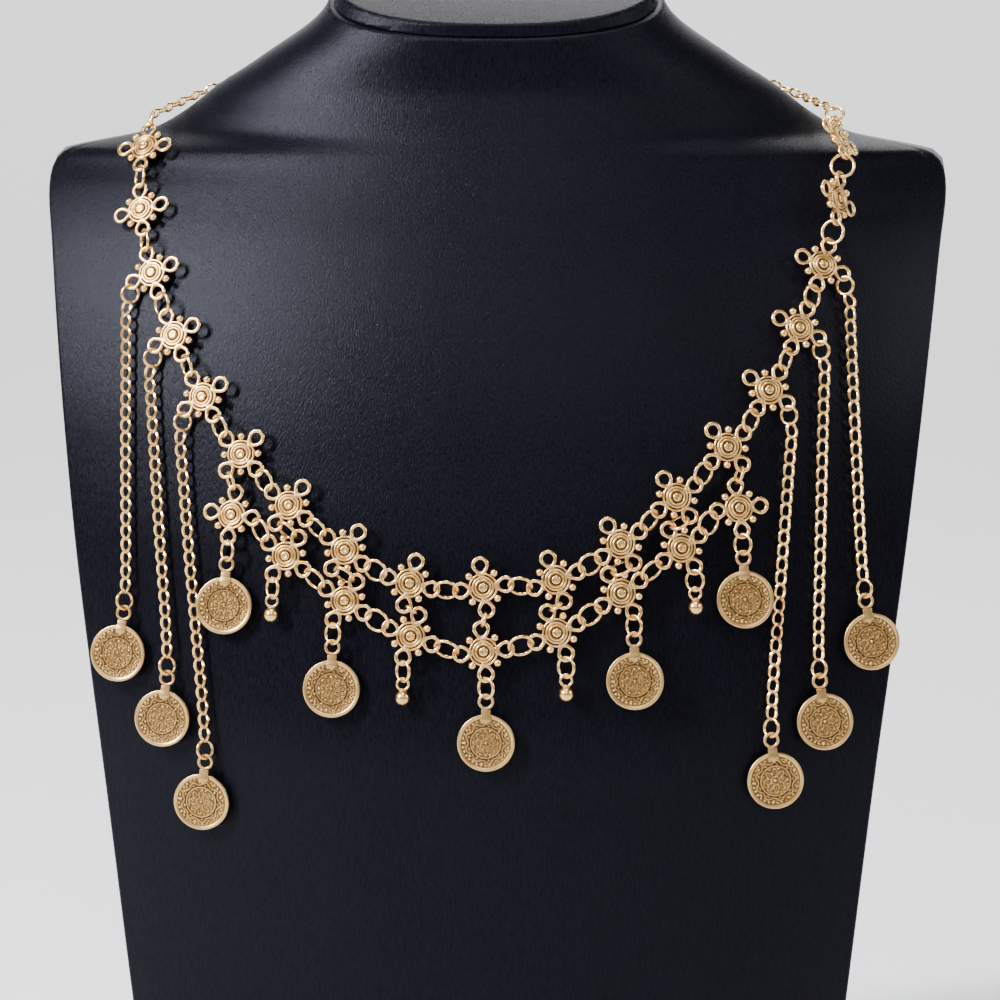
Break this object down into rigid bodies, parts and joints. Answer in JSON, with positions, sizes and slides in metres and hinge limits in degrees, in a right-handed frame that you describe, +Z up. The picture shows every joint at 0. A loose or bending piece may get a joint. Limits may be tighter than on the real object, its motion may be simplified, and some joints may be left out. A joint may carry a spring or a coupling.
{
  "type": "coin waist chain on a display bust",
  "caption": "Antique-gold waist chain of carved rosettes with hanging coins, ball drops and coin strands, laid over a black leatherette display bust.",
  "frame": {"origin": "the bust's base plane, on the vertical line through the middle of its front", "axes": "+Z up, -Y towards the viewer, +X to the viewer's right"},
  "size_m": [0.2598, 0.1194, 0.3593],
  "materials": {
    "antique_gold": "antique gold plating, bright on the edges and dark in the recesses",
    "black_leatherette": "satin black leatherette with a fine vertical grain"
  },
  "bodies": {
    "root": {"chain_back_left": "antique_gold", "chain_back_right": "antique_gold", "clasp": "antique_gold", "display_bust": "black_leatherette", "neck_cap": "black_leatherette", "rosette_lower_00": "antique_gold", "rosette_lower_01": "antique_gold", "rosette_lower_02": "antique_gold", "rosette_lower_03": "antique_gold", "rosette_lower_04": "antique_gold", "rosette_lower_05": "antique_gold", "rosette_lower_06": "antique_gold", "rosette_lower_07": "antique_gold", "rosette_lower_08": "antique_gold", "rosette_upper_00": "antique_gold", "rosette_upper_01": "antique_gold", "rosette_upper_02": "antique_gold", "rosette_upper_03": "antique_gold", "rosette_upper_04": "antique_gold", "rosette_upper_05": "antique_gold", "rosette_upper_06": "antique_gold", "rosette_upper_07": "antique_gold", "rosette_upper_08": "antique_gold", "rosette_upper_09": "antique_gold", "rosette_upper_10": "antique_gold", "rosette_upper_11": "antique_gold", "rosette_upper_12": "antique_gold", "rosette_upper_13": "antique_gold", "rosette_upper_14": "antique_gold", "rosette_upper_15": "antique_gold", "rosette_upper_16": "antique_gold", "rosette_upper_17": "antique_gold", "rosette_upper_18": "antique_gold", "strand_left_1": "antique_gold", "strand_left_2": "antique_gold", "strand_left_3": "antique_gold", "strand_right_1": "antique_gold", "strand_right_2": "antique_gold", "strand_right_3": "antique_gold"},
    "coin_short_0": {"coin_short_0": "antique_gold"},
    "ball_drop_0": {"ball_drop_0": "antique_gold"},
    "coin_short_1": {"coin_short_1": "antique_gold"},
    "ball_drop_1": {"ball_drop_1": "antique_gold"},
    "coin_short_2": {"coin_short_2": "antique_gold"},
    "ball_drop_2": {"ball_drop_2": "antique_gold"},
    "coin_short_3": {"coin_short_3": "antique_gold"},
    "ball_drop_3": {"ball_drop_3": "antique_gold"},
    "coin_short_4": {"coin_short_4": "antique_gold"},
    "coin_left_1": {"coin_left_1": "antique_gold"},
    "coin_left_2": {"coin_left_2": "antique_gold"},
    "coin_left_3": {"coin_left_3": "antique_gold"},
    "coin_right_3": {"coin_right_3": "antique_gold"},
    "coin_right_2": {"coin_right_2": "antique_gold"},
    "coin_right_1": {"coin_right_1": "antique_gold"}
  },
  "joints": [
    {"name": "coin_short_0_swing", "type": "hinge", "parent": "root", "child": "coin_short_0", "pos_m": [-0.07204, -0.04207, 0.18923], "axis": [-0.1338, -0.9802, 0.1461], "range_deg": [-2, 6]},
    {"name": "ball_drop_0_swing", "type": "hinge", "parent": "root", "child": "ball_drop_0", "pos_m": [-0.05899, -0.04714, 0.17958], "axis": [-0.1101, -0.9879, 0.1096], "range_deg": [-8, 10]},
    {"name": "coin_short_1_swing", "type": "hinge", "parent": "root", "child": "coin_short_1", "pos_m": [-0.0418, -0.05195, 0.16767], "axis": [-0.0762, -0.9928, 0.0928], "range_deg": [-12, 12]},
    {"name": "ball_drop_1_swing", "type": "hinge", "parent": "root", "child": "ball_drop_1", "pos_m": [-0.02214, -0.05532, 0.15787], "axis": [-0.0369, -0.9976, 0.0582], "range_deg": [-12, 12]},
    {"name": "coin_short_2_swing", "type": "hinge", "parent": "root", "child": "coin_short_2", "pos_m": [0.0009, -0.05643, 0.15354], "axis": [0.0008, -0.9996, 0.0293], "range_deg": [-12, 12]},
    {"name": "ball_drop_2_swing", "type": "hinge", "parent": "root", "child": "ball_drop_2", "pos_m": [0.02298, -0.05511, 0.15927], "axis": [0.0385, -0.9973, 0.0624], "range_deg": [-12, 12]},
    {"name": "coin_short_3_swing", "type": "hinge", "parent": "root", "child": "coin_short_3", "pos_m": [0.04162, -0.05165, 0.17045], "axis": [0.0753, -0.9925, 0.0967], "range_deg": [-12, 12]},
    {"name": "ball_drop_3_swing", "type": "hinge", "parent": "root", "child": "ball_drop_3", "pos_m": [0.05836, -0.04686, 0.18246], "axis": [0.108, -0.9873, 0.1161], "range_deg": [-10, 8]},
    {"name": "coin_short_4_swing", "type": "hinge", "parent": "root", "child": "coin_short_4", "pos_m": [0.07159, -0.04172, 0.1919], "axis": [0.1318, -0.9784, 0.1593], "range_deg": [-6, 6]},
    {"name": "coin_left_1_swing", "type": "hinge", "parent": "root", "child": "coin_left_1", "pos_m": [-0.10204, -0.03247, 0.17376], "axis": [-0.1984, -0.9749, 0.1012], "range_deg": [-12, 5]},
    {"name": "coin_left_2_swing", "type": "hinge", "parent": "root", "child": "coin_left_2", "pos_m": [-0.08919, -0.03973, 0.15655], "axis": [-0.1813, -0.9814, 0.0624], "range_deg": [-10, 2]},
    {"name": "coin_left_3_swing", "type": "hinge", "parent": "root", "child": "coin_left_3", "pos_m": [-0.0781, -0.04507, 0.13373], "axis": [-0.1688, -0.9855, -0.0175], "range_deg": [-12, 12]},
    {"name": "coin_right_3_swing", "type": "hinge", "parent": "root", "child": "coin_right_3", "pos_m": [0.07965, -0.04439, 0.14112], "axis": [0.1687, -0.9857, 0.0011], "range_deg": [-12, 8]},
    {"name": "coin_right_2_swing", "type": "hinge", "parent": "root", "child": "coin_right_2", "pos_m": [0.09306, -0.03802, 0.15681], "axis": [0.189, -0.9799, 0.0644], "range_deg": [-4, 10]},
    {"name": "coin_right_1_swing", "type": "hinge", "parent": "root", "child": "coin_right_1", "pos_m": [0.10583, -0.03026, 0.17826], "axis": [0.2042, -0.9736, 0.1021], "range_deg": [-6, 12]}
  ]
}
